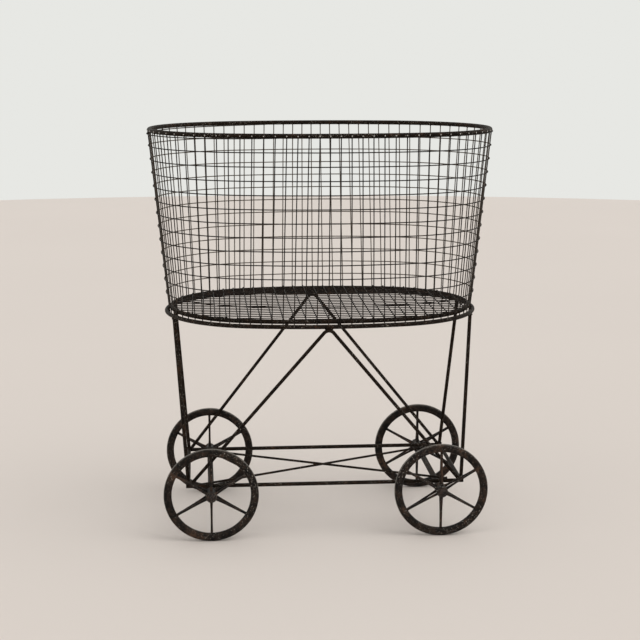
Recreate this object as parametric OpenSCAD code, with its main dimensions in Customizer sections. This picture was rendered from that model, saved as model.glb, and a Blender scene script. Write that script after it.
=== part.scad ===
// Oval wire basket cart: a tapered basket of welded wire on a rod stand with four cast spoked wheels.
// X is the length, Y the depth and Z up. The origin is on the floor, under the middle of the basket.

/* [Basket] */
// Height of the rim ring's top above the floor
overall_h = 764.5; // [680:0.5:920]
// Length of the rim ring along X, between rod centres
rim_length = 648.5; // [540:0.5:800]
// Width of the rim ring along Y, between rod centres
rim_width = 463; // [385:1:565]
// How far each long side bows out past the round ends
side_bow = 12; // [8:0.5:24]
// Height of the base ring's centre above the floor
base_z = 421.8; // [345:0.1:510]
// How far the wall leans in from the rim ring to the base ring
wall_inset = 34.7; // [25:0.1:60]
// Diameter of the rim ring's rod
rim_rod = 8.4; // [6:0.1:10]
// Diameter of the base ring's rod
base_rod = 8.4; // [6:0.1:10]

/* [Wire mesh] */
// How far outside the rim ring's centre line the upright wires end under it
rim_seat = 3; // [0:0.1:4]
// Diameter of the wall's and the floor's wire
wire_d = 2; // [1.6:0.1:3.2]
// Spacing of the upright wires along the rim ring
upright_pitch = 22.4; // [18:0.1:28]
// How much wider the upright wires stand near the sides' middles at the rim ring
rim_spread = -0.18; // [-0.25:0.002:0.25]
// How much wider still they stand towards the rim ring's ends, where less than 0 is wider
rim_late_spread = -0.05; // [-0.2:0.002:0.2]
// How much wider the upright wires stand near the sides' middles at the base ring
base_spread = 0.07; // [-0.25:0.002:0.25]
// How much wider still they stand towards the base ring's ends, where less than 0 is wider
base_late_spread = -0.104; // [-0.2:0.002:0.2]
// Drop from the rim ring's centre to the thin selvage hoop under it
selvage_drop = 5.6; // [5.5:0.1:12]
// Drop from the rim ring's centre to the first full hoop
first_hoop_drop = 29.4; // [20:0.1:40]
// Rise from the base ring's centre to the lowest hoop
last_hoop_rise = 28.6; // [20:0.1:40]
// Spacing of the floor wires that run front to back
depth_wire_pitch = 20.6; // [16:0.1:26]
// Spacing of the floor wires that run left to right
cross_wire_pitch = 18.6; // [15:0.1:24]

/* [Stand] */
// Drop from the base ring's centre to the stand ring's centre
stand_drop = 8; // [6:0.1:9.5]
// Diameter of the stand ring's rod
stand_rod = 8; // [6:0.1:9]
// Diameter of the legs
leg_rod = 6.9; // [5:0.1:8]
// Angle on the stand ring's round end at which a leg is welded
leg_angle = 22.5; // [15:0.5:40]
// Diameter of the bent struts
strut_rod = 6.4; // [4.5:0.1:7.5]
// Bend radius of a strut's top, at the rod's centre
strut_bend = 11; // [9:0.5:25]
// Distance from a leg's axis to the strut's axis beside it, on top of the lower frame
strut_inset = 4.9; // [3:0.1:12]
// Length of the lower frame, between the end rails' centres
frame_length = 519; // [500:1:625]
// Width of the lower frame, between the long rails' centres
frame_width = 264; // [214:1:270]
// Diameter of the lower frame's rails
rail_rod = 7.4; // [5.5:0.1:8.5]
// How far the long rails stick out past the end rails
rail_tip = 4.5; // [3:0.5:14]
// Diameter of the two crossing braces
brace_rod = 4.4; // [3:0.1:5.5]
// How far short of the frame's right corners the braces end on the long rails
brace_short = 20; // [0:1:60]

/* [Wheels] */
// Diameter of the wheels
wheel_d = 178; // [148:1:214]
// Distance between the two axles
wheelbase = 434; // [361:1:490]
// Thickness of the wheel's rim in the wheel's plane
wheel_rim_t = 15; // [10:0.1:18]
// Width of the wheel's rim along the axle
wheel_rim_w = 12; // [8.5:0.1:14]
// Corner radius of the rim's section, as a share of its width
wheel_rim_round = 0.4; // [0.2:0.05:0.45]
// Diameter of the hub
hub_d = 21; // [18:0.5:25]
// Length of the hub
hub_len = 34; // [28:0.5:36]
// Number of spokes
spoke_count = 6; // [5:1:8]
// Diameter of the two rods of a spoke
spoke_rod = 4; // [3.2:0.1:5]
// Distance along the axle between a spoke's two rods at the hub
spoke_splay = 19; // [14:0.5:22]
// Diameter of the axles
axle_d = 11; // [9:0.1:13]
// Diameter of an axle's peened head
head_d = 14.4; // [13.4:0.1:16]
// Thickness of an axle's peened head
head_t = 2.4; // [1.5:0.1:4]
// Diameter of the flat on an axle's peened head
head_flat_d = 9.5; // [7:0.1:12]
// Outer diameter of the collars and washers
washer_d = 18; // [16.5:0.5:20]
// Thickness of the collars inboard of the hubs
collar_t = 4; // [2:0.1:5]
// Thickness of the washers under the heads
washer_t = 1.4; // [0.8:0.1:2.5]

/* [Clearances] */
// Gap left for the weld between two rods
weld_gap = 0.1; // [0.05:0.05:0.2]
// Radial clearance between an axle and a hub's bore
axle_clear = 0.06; // [0.02:0.01:0.09]
// How far a cutting tool passes the faces it cuts through
cut_over = 1; // [0.5:0.5:3]
// End play of a wheel on its axle, at each side
end_play = 0.4; // [0.3:0.1:1]
// Clearance between a strut and the wheel beside it
wheel_clear = 2; // [1:0.1:8]
// Clearance between a collar and the rail above the axle
collar_clear = 1; // [0.3:0.1:8]
// Length of the ground seam where two bends of a rod meet
seam_len = 0.6; // [0.4:0.1:2]
// How far a seam stands proud of its rod, less than the weld gap
seam_rise = 0.04; // [0.02:0.01:0.04]

/* [Hidden] */
$fn = 48;

IRON = "#3a2f2a";
WIRE = "#2e2825";
CAST = "#332823";
WORN = "#6b5a4b";

// The rim ring's plan is a four-centre oval: two round ends and two long sides, meeting tangentially.
// Every ring, hoop and wire follows the same oval, moved outwards by an offset.
end_r = rim_width / 2 - side_bow;
end_x = rim_length / 2 - end_r;
side_y = (end_x * end_x - side_bow * side_bow) / (2 * side_bow);
side_r = rim_width / 2 + side_y;
join_a = atan2(side_y, end_x);

// Radii, heights and offsets of the basket's wall
wire_r = wire_d / 2;
rim_z = overall_h - rim_rod / 2;
lean_a = atan2(wall_inset, rim_z - base_z);
head_inset = max(0, rim_seat - rim_rod / 2 * tan(lean_a) - wire_r);
wire_head_z = rim_z - sqrt(pow(rim_rod / 2 + weld_gap, 2) - pow(head_inset, 2)) - wire_r * sin(lean_a);
base_stack = (base_rod / 2 + wire_r + weld_gap) / cos(lean_a);
hoop_stack = (wire_d + weld_gap) / cos(lean_a);
stand_z = base_z - stand_drop;
stand_stack = (stand_rod / 2 + wire_r + weld_gap) / cos(lean_a);
base_offset = wire_offset(base_z) - base_stack;
stand_offset = wire_offset(stand_z) + stand_stack;
hoop_count = 12;
hoop_pitch = (rim_z - first_hoop_drop - base_z - last_hoop_rise) / (hoop_count - 1);
selvage_z = rim_z - selvage_drop;

// Upright wires: whole numbers of gaps in each quarter, so that one stands at each axis of the oval
quarter_gaps = round(quarter_length(rim_seat) / upright_pitch);

// Heights of the stand
wheel_r = wheel_d / 2;
rail_z = wheel_r + (axle_d + rail_rod) / 2 + weld_gap;
rail_top = rail_z + rail_rod / 2 + weld_gap;
brace_low_z = wheel_r + (axle_d + brace_rod) / 2 + weld_gap;
strut_z = stand_z - (stand_rod + strut_rod) / 2 - weld_gap;
strut_y = side_r + stand_offset - side_y;
strut_foot_x = frame_length / 2 - strut_inset;

// The wheels stand clear of both the leaning struts and the rails
strut_lean = (strut_y - frame_width / 2) / (strut_z - rail_top);
beside_strut = frame_width / 2 + (wheel_d - rail_top) * strut_lean
    + strut_rod / 2 * sqrt(1 + strut_lean * strut_lean) + wheel_clear + wheel_rim_w / 2;
beside_rail = (frame_width + rail_rod) / 2 + collar_clear + collar_t + end_play + hub_len / 2;
track = 2 * max(beside_strut, beside_rail);

// Places along the axles, from the middle of the cart outwards
hub_in = track / 2 - hub_len / 2;
hub_out = track / 2 + hub_len / 2;
head_y = hub_out + end_play + washer_t + weld_gap;

// Height offset of the upright wires' line at height z, from the rim ring's centre line
function wire_offset(z) = rim_seat - (rim_z - z) * tan(lean_a);

// Length of a quarter of the oval at an offset, from the middle of a long side to the middle of an end
function side_length(offset) = (side_r + offset) * (90 - join_a) * PI / 180;
function quarter_length(offset) = side_length(offset) + (end_r + offset) * join_a * PI / 180;

// Plan point of the first quarter at a distance along it, starting from the middle of the long side
function quarter_point(offset, along) =
    along < side_length(offset)
        ? let (a = along / (side_r + offset) * 180 / PI)
          [(side_r + offset) * sin(a), (side_r + offset) * cos(a) - side_y]
        : let (a = join_a - (along - side_length(offset)) / (end_r + offset) * 180 / PI)
          [end_x + (end_r + offset) * cos(a), (end_r + offset) * sin(a)];

// Share of a quarter reached by an upright wire, with more room towards the long side when spread and late > 0
function spread_share(share, spread, late) = share + (spread + late * share) * share * (1 - share);

// Half the oval's depth at a distance from the middle, and half its length at a depth
function half_depth(x, offset) =
    x < (side_r + offset) * cos(join_a)
        ? sqrt(pow(side_r + offset, 2) - x * x) - side_y
        : sqrt(pow(end_r + offset, 2) - pow(x - end_x, 2));
function half_length(y, offset) =
    y > (side_r + offset) * sin(join_a) - side_y
        ? sqrt(pow(side_r + offset, 2) - pow(y + side_y, 2))
        : end_x + sqrt(pow(end_r + offset, 2) - y * y);

// Bent stretch of round rod in the XY plane, each end stopping inside the seam there
module bend(radius, from_a, to_a, rod) {
    trim_a = seam_len / 4 / radius * 180 / PI;
    rotate(from_a + trim_a) rotate_extrude(angle = to_a - from_a - 2 * trim_a)
        translate([radius, 0]) circle(d = rod);
}

// Seam of a rod that follows a circle in the XY plane, at an angle on it
module seam(radius, at_a, rod) {
    rotate(at_a) translate([radius, 0, 0]) rotate([90, 0, 0])
        cylinder(h = seam_len, d = rod + 2 * seam_rise, center = true);
}

// Round rod bent to the oval at an offset
module oval_rod(offset, z, rod) {
    for (side = [0, 180]) rotate(side) {
        translate([end_x, 0, z]) {
            bend(end_r + offset, -join_a, join_a, rod);
            for (at_a = [-join_a, join_a]) seam(end_r + offset, at_a, rod);
        }
        translate([0, -side_y, z]) bend(side_r + offset, join_a, 180 - join_a, rod);
    }
}

// Straight round rod between two points
module rod_between(from, to, rod) {
    way = to - from;
    translate(from) rotate([0, atan2(norm([way.x, way.y]), way.z), atan2(way.y, way.x)])
        cylinder(h = norm(way), d = rod);
}

// The same thing at all four corners: sx and sy are the signs of X and Y
module at_corner(sx, sy) {
    mirror([sx < 0 ? 1 : 0, 0, 0]) mirror([0, sy < 0 ? 1 : 0, 0]) children();
}

// --- Basket ---

module rim_ring() {
    color(IRON) oval_rod(0, rim_z, rim_rod);
}

module selvage_hoop() {
    color(WIRE) oval_rod(wire_offset(selvage_z) + hoop_stack, selvage_z, wire_d);
}

module hoop(number) {
    hoop_z = base_z + last_hoop_rise + (number - 1) * hoop_pitch;
    color(WIRE) oval_rod(wire_offset(hoop_z) + hoop_stack, hoop_z, wire_d);
}

// One upright wire of the first quarter, from the stand ring's height up to the underside of the rim ring
module upright(number) {
    share = number / quarter_gaps;
    top_offset = wire_offset(rim_z);
    low_offset = wire_offset(base_z);
    top_run = quarter_length(top_offset) * spread_share(share, rim_spread, rim_late_spread);
    low_run = quarter_length(low_offset) * spread_share(share, base_spread, base_late_spread);
    top = quarter_point(top_offset, top_run);
    low = quarter_point(low_offset, low_run);
    lean = (low - top) / (rim_z - base_z);
    head = top + lean * (rim_z - wire_head_z);
    foot = top + lean * (rim_z - stand_z);
    rod_between([foot.x, foot.y, stand_z], [head.x, head.y, wire_head_z], wire_d);
}

module wall_wires() {
    color(WIRE) for (sx = [1, -1], sy = [1, -1]) at_corner(sx, sy)
        for (number = [sx > 0 ? 0 : 1 : sy > 0 ? quarter_gaps : quarter_gaps - 1]) upright(number);
}

module base_ring() {
    color(IRON) oval_rod(base_offset, base_z, base_rod);
}

// Floor wires over the base ring, from its outer flank to its outer flank
module floor_depth_wires() {
    wire_z = base_z + base_rod / 2 + wire_r + weld_gap;
    last = floor((half_length(0, base_offset) - base_rod / 2) / depth_wire_pitch);
    color(WIRE) for (i = [-last : last]) {
        x = i * depth_wire_pitch;
        reach = half_depth(abs(x) + wire_r, base_offset + wire_r);
        rod_between([x, -reach, wire_z], [x, reach, wire_z], wire_d);
    }
}

// Floor wires just under the others, butted to the inside of the base ring
module floor_cross_wires() {
    rise = base_rod / 2 - wire_r;
    inner = base_offset - sqrt(pow(base_rod / 2, 2) - pow(rise - wire_r, 2)) - weld_gap;
    last = floor((half_depth(0, inner) - wire_d) / cross_wire_pitch);
    color(WIRE) for (i = [-last : last]) {
        y = i * cross_wire_pitch;
        reach = half_length(abs(y) + wire_r, inner);
        rod_between([-reach, y, base_z + rise], [reach, y, base_z + rise], wire_d);
    }
}

// --- Stand ---

module stand_ring() {
    color(IRON) oval_rod(stand_offset, stand_z, stand_rod);
}

// Straight leg from under the stand ring to the top of a lower frame's corner
module leg(sx, sy) {
    head = [end_x + (end_r + stand_offset) * cos(leg_angle), (end_r + stand_offset) * sin(leg_angle), stand_z];
    foot = [frame_length / 2, frame_width / 2, rail_top];
    way = (foot - head) / norm(foot - head);
    slope = norm([way.x, way.y]) / abs(way.z);
    start = (stand_rod / 2 + weld_gap) / abs(way.z) + leg_rod / 2 * slope;
    color(IRON) at_corner(sx, sy) difference() {
        rod_between(head + way * start, foot + way * leg_rod, leg_rod);
        translate([foot.x, foot.y, rail_top - leg_rod]) cube(leg_rod * 2, center = true);
    }
}

// One rod bent to an inverted V, leaning in from the stand ring to the lower frame's rail.
// Its feet are cut to the rail's top and to the legs' inner flanks.
module strut(sy) {
    run = [strut_y - frame_width / 2, strut_z - rail_top];
    drop = norm(run) - strut_bend;
    reach = norm([strut_foot_x, drop]);
    half_a = atan2(strut_foot_x, drop) - asin(strut_bend / reach);
    straight = sqrt(reach * reach - strut_bend * strut_bend) + strut_rod;
    leg_flank_x = (frame_length - leg_rod) / 2 - weld_gap;
    color(IRON) at_corner(1, sy) difference() {
        translate([0, strut_y, strut_z]) rotate([-atan2(run.x, run.y), 0, 0])
            translate([0, 0, -strut_bend]) rotate([90, 0, 0]) {
                bend(strut_bend, half_a, 180 - half_a, strut_rod);
                for (side = [0, 1]) mirror([side, 0, 0]) {
                    seam(strut_bend, half_a, strut_rod);
                    rotate(half_a) translate([strut_bend, -seam_len / 4, 0]) rotate([90, 0, 0])
                        cylinder(h = straight, d = strut_rod);
                }
            }
        for (side = [-1, 1]) {
            translate([side * strut_foot_x, frame_width / 2, rail_top - strut_rod * 2])
                cube(strut_rod * 4, center = true);
            translate([side * (leg_flank_x + strut_rod * 2), frame_width / 2, rail_top])
                cube(strut_rod * 4, center = true);
        }
    }
}

module rail(sy) {
    color(IRON) translate([0, sy * frame_width / 2, rail_z]) rotate([0, 90, 0])
        cylinder(h = frame_length + 2 * rail_tip, d = rail_rod, center = true);
}

module end_rail(sx) {
    color(IRON) translate([sx * frame_length / 2, 0, rail_z]) rotate([90, 0, 0])
        cylinder(h = frame_width - rail_rod - 2 * weld_gap, d = rail_rod, center = true);
}

// Thin rod from a left corner of the lower frame to the other long rail, near the right corner
module brace(turn, z) {
    end_x = frame_length / 2 - (rail_rod + brace_rod) / 2 - weld_gap;
    end_y = frame_width / 2 - (rail_rod + brace_rod) / 2 - weld_gap;
    color(IRON) rod_between([-end_x, -turn * end_y, z], [end_x - brace_short, turn * end_y, z], brace_rod);
}

// --- Wheels ---

// Round bar across the cart, with a peened head at each end
module axle(sx) {
    color(WORN) translate([sx * wheelbase / 2, 0, wheel_r]) rotate([90, 0, 0]) {
        cylinder(h = 2 * head_y + head_t, d = axle_d, center = true);
        for (side = [0, 1]) mirror([0, 0, side]) translate([0, 0, head_y]) {
            cylinder(h = head_t / 2, d = head_d);
            translate([0, 0, head_t / 2]) cylinder(h = head_t / 2, d1 = head_d, d2 = head_flat_d);
        }
    }
}

// Four rings on the axles, with their inner faces at a distance from the cart's middle
module rings_on_axles(inner_face, thickness) {
    for (sx = [1, -1], sy = [1, -1]) at_corner(sx, sy)
        translate([wheelbase / 2, inner_face + thickness, wheel_r]) rotate([90, 0, 0]) difference() {
            cylinder(h = thickness, d = washer_d);
            translate([0, 0, -cut_over]) cylinder(h = thickness + 2 * cut_over, d = axle_d + 2 * weld_gap);
        }
}

module inner_washers() {
    color(WORN) rings_on_axles(hub_in - end_play - collar_t, collar_t);
}

module outer_washers() {
    color(WORN) rings_on_axles(hub_out + end_play, washer_t);
}

// Section of the wheel's rim: a rectangle with rounded corners
module rim_section() {
    corner = wheel_rim_w * wheel_rim_round;
    for (x = [-1, 1], y = [-1, 1])
        translate([x * (wheel_rim_t / 2 - corner), y * (wheel_rim_w / 2 - corner)]) circle(r = corner);
    square([wheel_rim_t - 2 * corner, wheel_rim_w], center = true);
    square([wheel_rim_t, wheel_rim_w - 2 * corner], center = true);
}

// One spoke: two round rods from near the hub's two ends, meeting in the middle of the rim
module spoke() {
    from_r = (axle_d + hub_d) / 4;
    to_r = wheel_r - wheel_rim_t / 2;
    for (side = [-1, 1])
        rod_between([from_r, 0, side * spoke_splay / 2], [to_r, 0, 0], spoke_rod);
}

module wheel(sx, sy) {
    color(CAST) translate([sx * wheelbase / 2, sy * track / 2, wheel_r]) rotate([90, 0, 0]) difference() {
        union() {
            rotate_extrude() translate([wheel_r - wheel_rim_t / 2, 0]) rim_section();
            cylinder(h = hub_len, d = hub_d, center = true);
            for (i = [0 : spoke_count - 1]) rotate(90 + i * 360 / spoke_count) spoke();
        }
        cylinder(h = hub_len + 2 * cut_over, d = axle_d + 2 * axle_clear, center = true);
    }
}

rim_ring();
selvage_hoop();
hoop(1);  // hoop_01
hoop(2);  // hoop_02
hoop(3);  // hoop_03
hoop(4);  // hoop_04
hoop(5);  // hoop_05
hoop(6);  // hoop_06
hoop(7);  // hoop_07
hoop(8);  // hoop_08
hoop(9);  // hoop_09
hoop(10);  // hoop_10
hoop(11);  // hoop_11
hoop(12);  // hoop_12
wall_wires();
base_ring();
floor_depth_wires();
floor_cross_wires();
stand_ring();
leg(-1, -1);  // leg_front_left
leg(1, -1);  // leg_front_right
leg(-1, 1);  // leg_back_left
leg(1, 1);  // leg_back_right
strut(-1);  // strut_front
strut(1);  // strut_back
rail(-1);  // rail_front
rail(1);  // rail_back
end_rail(-1);  // end_rail_left
end_rail(1);  // end_rail_right
brace(1, brace_low_z);  // brace_lower
brace(-1, brace_low_z + brace_rod + weld_gap);  // brace_upper
axle(-1);  // axle_left
axle(1);  // axle_right
inner_washers();
outer_washers();
wheel(-1, -1);  // wheel_front_left
wheel(1, -1);  // wheel_front_right
wheel(-1, 1);  // wheel_back_left
wheel(1, 1);  // wheel_back_right
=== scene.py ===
"""Looks of an oval wire basket cart: wires, welds, spoked wheels, iron finishes, floor, light and camera."""

import logging
import math
from dataclasses import dataclass
from enum import Enum
from typing import Any, Sequence

import bpy
import numpy as np
from mathutils import Matrix, Vector


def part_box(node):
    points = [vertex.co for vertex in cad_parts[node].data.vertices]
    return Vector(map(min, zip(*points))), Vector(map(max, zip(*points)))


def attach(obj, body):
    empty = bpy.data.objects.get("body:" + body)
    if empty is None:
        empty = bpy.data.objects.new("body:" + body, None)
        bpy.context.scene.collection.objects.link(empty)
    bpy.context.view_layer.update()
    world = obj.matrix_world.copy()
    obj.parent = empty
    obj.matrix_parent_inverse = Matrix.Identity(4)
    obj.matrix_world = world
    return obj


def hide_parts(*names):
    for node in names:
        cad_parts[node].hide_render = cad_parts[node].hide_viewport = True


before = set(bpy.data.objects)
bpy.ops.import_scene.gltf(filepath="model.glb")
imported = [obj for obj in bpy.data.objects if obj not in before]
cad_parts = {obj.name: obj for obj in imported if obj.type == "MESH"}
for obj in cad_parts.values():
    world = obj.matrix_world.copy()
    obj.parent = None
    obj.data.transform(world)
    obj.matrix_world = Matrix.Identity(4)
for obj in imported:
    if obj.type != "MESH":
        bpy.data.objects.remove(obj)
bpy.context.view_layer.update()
log = logging.getLogger("basket_cart")

Colour = tuple[float, float, float]


# ---- node sheets


class Value:
    """A number on a node sheet. Arithmetic on it adds Math nodes."""

    def __init__(self, sheet: "Sheet", socket: bpy.types.NodeSocket) -> None:
        """Wraps an output socket of a node on a sheet."""
        self.sheet = sheet
        self.socket = socket

    def _math(self, operation: str, first: Any, second: Any) -> "Value":
        """Adds one Math node with two terms."""
        return self.sheet.node("ShaderNodeMath", {"operation": operation}, {0: first, 1: second})

    def __add__(self, other: Any) -> "Value":
        """Sum."""
        return self._math("ADD", self, other)

    def __radd__(self, other: Any) -> "Value":
        """Sum, with the number on the left."""
        return self._math("ADD", other, self)

    def __sub__(self, other: Any) -> "Value":
        """Difference."""
        return self._math("SUBTRACT", self, other)

    def __rsub__(self, other: Any) -> "Value":
        """Difference, with the number on the left."""
        return self._math("SUBTRACT", other, self)

    def __mul__(self, other: Any) -> "Value":
        """Product."""
        return self._math("MULTIPLY", self, other)

    def __rmul__(self, other: Any) -> "Value":
        """Product, with the number on the left."""
        return self._math("MULTIPLY", other, self)

    def __truediv__(self, other: Any) -> "Value":
        """Quotient."""
        return self._math("DIVIDE", self, other)

    def __pow__(self, other: Any) -> "Value":
        """Power."""
        return self._math("POWER", self, other)


class Sheet:
    """A node tree that is being drawn, for a finish or for a shape."""

    def __init__(self, tree: bpy.types.NodeTree) -> None:
        """Starts on a tree, emptied."""
        self.tree = tree
        tree.nodes.clear()

    def node(
        self,
        kind: str,
        settings: dict[str, Any] | None = None,
        sockets: dict[str | int, Any] | None = None,
        out: str | int = 0,
    ) -> Value:
        """Adds a node, sets it up and joins its inputs.

        Args:
            kind: Type name of the node.
            settings: Properties, which are set first.
            sockets: Inputs by name or number. Each is a Value or a list of them to join, or a constant.
            out: Output to return, by name or number.

        Returns:
            The chosen output as a Value.
        """
        made = self.tree.nodes.new(kind)
        for name, setting in (settings or {}).items():
            setattr(made, name, setting)
        for key, term in (sockets or {}).items():
            socket = self._pick(made.inputs, key)
            parts = term if isinstance(term, list) else [term]
            if isinstance(parts[0], Value):
                for part in parts:
                    self.tree.links.new(part.socket, socket)
            elif socket.type == "RGBA" and len(term) == 3:
                socket.default_value = (*term, 1.0)
            else:
                socket.default_value = term
        return Value(self, self._pick(made.outputs, out) if made.outputs else None)

    @staticmethod
    def _pick(sockets: Sequence[bpy.types.NodeSocket], key: str | int) -> bpy.types.NodeSocket:
        """Finds a socket that is in use, by its name or by its number."""
        shown = [socket for socket in sockets if socket.enabled]
        return shown[key] if isinstance(key, int) else next(s for s in shown if s.name == key)

    def step(self, value: Value, low: float, high: float) -> Value:
        """Smooth step from 0 at low to 1 at high."""
        ends = {"Value": value, "From Min": low, "From Max": high}
        return self.node("ShaderNodeMapRange", {"interpolation_type": "SMOOTHSTEP"}, ends)

    def vector(self, operation: str, first: Any, second: Any) -> Value:
        """Adds one Vector Math node with two terms."""
        key = "Scale" if operation == "SCALE" else 1
        return self.node("ShaderNodeVectorMath", {"operation": operation}, {0: first, key: second})


class FinishSheet(Sheet):
    """The node tree of a material."""

    def __init__(self, name: str) -> None:
        """Makes the material that the tree belongs to.

        Args:
            name: Name of the material.
        """
        self.material = bpy.data.materials.new(name)
        self.material.use_nodes = True
        super().__init__(self.material.node_tree)

    def noise(self, place: Value, scale: float, detail: float = 3.0, roughness: float = 0.55) -> Value:
        """Adds a noise texture and returns its grey value."""
        terms = {"Vector": place, "Scale": scale, "Detail": detail, "Roughness": roughness}
        return self.node("ShaderNodeTexNoise", None, terms, "Fac")

    def blend(self, factor: Any, first: Any, second: Any) -> Value:
        """Mixes two colours."""
        return self.node("ShaderNodeMix", {"data_type": "RGBA"}, {"Factor": factor, "A": first, "B": second})

    def close(self, surface: Value) -> bpy.types.Material:
        """Joins the surface to the material's output and returns the material."""
        self.node("ShaderNodeOutputMaterial", None, {"Surface": surface})
        return self.material


class ShapeSheet(Sheet):
    """A Geometry Nodes tree with named inputs for its sizes."""

    KINDS = {float: "NodeSocketFloat", int: "NodeSocketInt"}

    def __init__(self, name: str, sizes: dict[str, Any]) -> None:
        """Makes the tree's sockets: the piece to work on, each size, and the finish.

        Args:
            name: Name of the tree.
            sizes: Default of each named input.
        """
        tree = bpy.data.node_groups.new(name, "GeometryNodeTree")
        super().__init__(tree)
        face = tree.interface
        face.new_socket("Geometry", in_out="INPUT", socket_type="NodeSocketGeometry")
        for label, default in sizes.items():
            item = face.new_socket(label, in_out="INPUT", socket_type=self.KINDS[type(default)])
            item.default_value = default
        face.new_socket("Finish", in_out="INPUT", socket_type="NodeSocketMaterial")
        face.new_socket("Geometry", in_out="OUTPUT", socket_type="NodeSocketGeometry")
        self.inlet = tree.nodes.new("NodeGroupInput")

    def take(self, label: str) -> Value:
        """The tree's input of that name."""
        return Value(self, self.inlet.outputs[label])

    def field(self, label: str, data_type: str) -> Value:
        """The named attribute of the piece."""
        return self.node("GeometryNodeInputNamedAttribute", {"data_type": data_type}, {"Name": label})

    def close(self, shape: Value) -> bpy.types.NodeTree:
        """Realizes, smooths and paints the shape, and ends the tree.

        Args:
            shape: Geometry to give out.

        Returns:
            The finished tree.
        """
        real = self.node("GeometryNodeRealizeInstances", None, {"Geometry": shape})
        smooth = self.node("GeometryNodeSetShadeSmooth", None, {"Geometry": real})
        finish = self.take("Finish")
        painted = self.node("GeometryNodeSetMaterial", None, {"Geometry": smooth, "Material": finish})
        self.node("NodeGroupOutput", None, {"Geometry": painted})
        return self.tree


def put(name: str, data: bpy.types.ID) -> bpy.types.Object:
    """Puts a new object with this data into the scene."""
    thing = bpy.data.objects.new(name, data)
    bpy.context.scene.collection.objects.link(thing)
    return thing


def grow(
    name: str, base: bpy.types.Mesh, tree: bpy.types.NodeTree, sizes: dict[str, Any]
) -> bpy.types.Object:
    """Runs a Geometry Nodes tree on a mesh and keeps the result as a plain mesh.

    Args:
        name: Name of the new piece.
        base: Mesh that the tree works on.
        tree: Geometry Nodes tree.
        sizes: Value of each of the tree's named inputs.

    Returns:
        The piece, at the origin.
    """
    carrier = put(name + "_carrier", base)
    modifier = carrier.modifiers.new("shape", "NODES")
    modifier.node_group = tree
    for item in tree.interface.items_tree:
        if item.in_out == "INPUT" and item.name in sizes:
            modifier[item.identifier] = sizes[item.name]
    depsgraph = bpy.context.evaluated_depsgraph_get()
    shaped = carrier.evaluated_get(depsgraph)
    mesh = bpy.data.meshes.new_from_object(shaped, preserve_all_data_layers=True, depsgraph=depsgraph)
    carrier.modifiers.remove(modifier)
    bpy.data.objects.remove(carrier)
    mesh.name = name
    return put(name, mesh)


# ---- finishes


@dataclass(frozen=True)
class IronFinish:
    """Weathered iron: a dark skin, brown and rusty patches, pale flecks of wear, and a paler colour where a
    stored attribute is high: tread and hub wear on the wheels, painted light on the wall wires' inner sides.

    A mask starts at its from value and is full its edge value above that.
    """

    slot: str
    skin: Colour
    brown: Colour
    rust: Colour
    fleck: Colour
    rust_from: float = 0.56
    rust_edge: float = 0.09
    fleck_from: float = 0.665
    fleck_edge: float = 0.035
    wear_and_light_from: float = 0.62
    wear_and_light_edge: float = 0.33
    wear_and_light_paint: float = 0.55
    patch_scale: float = 46.0
    grain_scale: float = 240.0
    fleck_scale: float = 560.0
    smooth: float = 0.5
    rough: float = 0.8
    metal: float = 0.15
    shine: float = 0.25
    relief: float = 0.0005

    def material(self, name: str) -> bpy.types.Material:
        """Draws the finish as a material.

        Args:
            name: Name of the material.

        Returns:
            The material.
        """
        sheet = FinishSheet(name)
        place = sheet.node("ShaderNodeTexCoord", out="Object")
        patch = sheet.noise(place, self.patch_scale, 5.0, 0.62)
        cloud = sheet.noise(place, self.patch_scale * 0.33, 2.0, 0.5)
        grain = sheet.noise(place, self.grain_scale, 4.0, 0.6)
        speck = sheet.noise(place, self.fleck_scale, 1.5, 0.5)
        # stored attribute: real wear on the wheels, painted light on the inward-facing sides of the wall
        # wires
        stored = {"attribute_type": "GEOMETRY", "attribute_name": "worn"}
        worn = sheet.node("ShaderNodeAttribute", stored, out="Fac")

        brown_mask = sheet.step(grain * 0.55 + patch * 0.45, 0.40, 0.60)
        rust_mask = sheet.step(patch * 0.6 + grain * 0.4, self.rust_from, self.rust_from + self.rust_edge)
        fleck_zone = sheet.step(cloud + worn * 0.2, 0.42, 0.60)
        flecks = speck + fleck_zone * 0.035
        fleck_mask = sheet.step(flecks, self.fleck_from, self.fleck_from + self.fleck_edge)
        wear_and_light_step = sheet.step(worn * 0.75 + grain * 0.5, self.wear_and_light_from, self.wear_and_light_from + self.wear_and_light_edge)
        wear_and_light_mask = wear_and_light_step * self.wear_and_light_paint

        colour = sheet.blend(brown_mask, self.skin, self.brown)
        colour = sheet.blend(rust_mask * 0.85, colour, self.rust)
        # blends in the fleck colour by that attribute: wear on the wheels, painted light on the wall wires
        colour = sheet.blend(wear_and_light_mask, colour, self.fleck)
        colour = sheet.blend(fleck_mask * (0.45 + fleck_zone * 0.4), colour, self.fleck)

        rough = self.smooth + rust_mask * (self.rough - self.smooth) + (grain - 0.5) * 0.4
        metal = self.metal * (1.0 - rust_mask) + wear_and_light_mask * 0.3
        height = grain * 0.55 + patch * 0.35 + rust_mask * 0.18 - fleck_mask * 0.22
        dents = {"Strength": 0.85, "Distance": self.relief, "Height": height}
        skin = {
            "Base Color": colour,
            "Roughness": rough,
            "Metallic": metal,
            "Normal": sheet.node("ShaderNodeBump", None, dents, "Normal"),
            "Specular IOR Level": self.shine,
        }
        return sheet.close(sheet.node("ShaderNodeBsdfPrincipled", None, skin))


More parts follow.
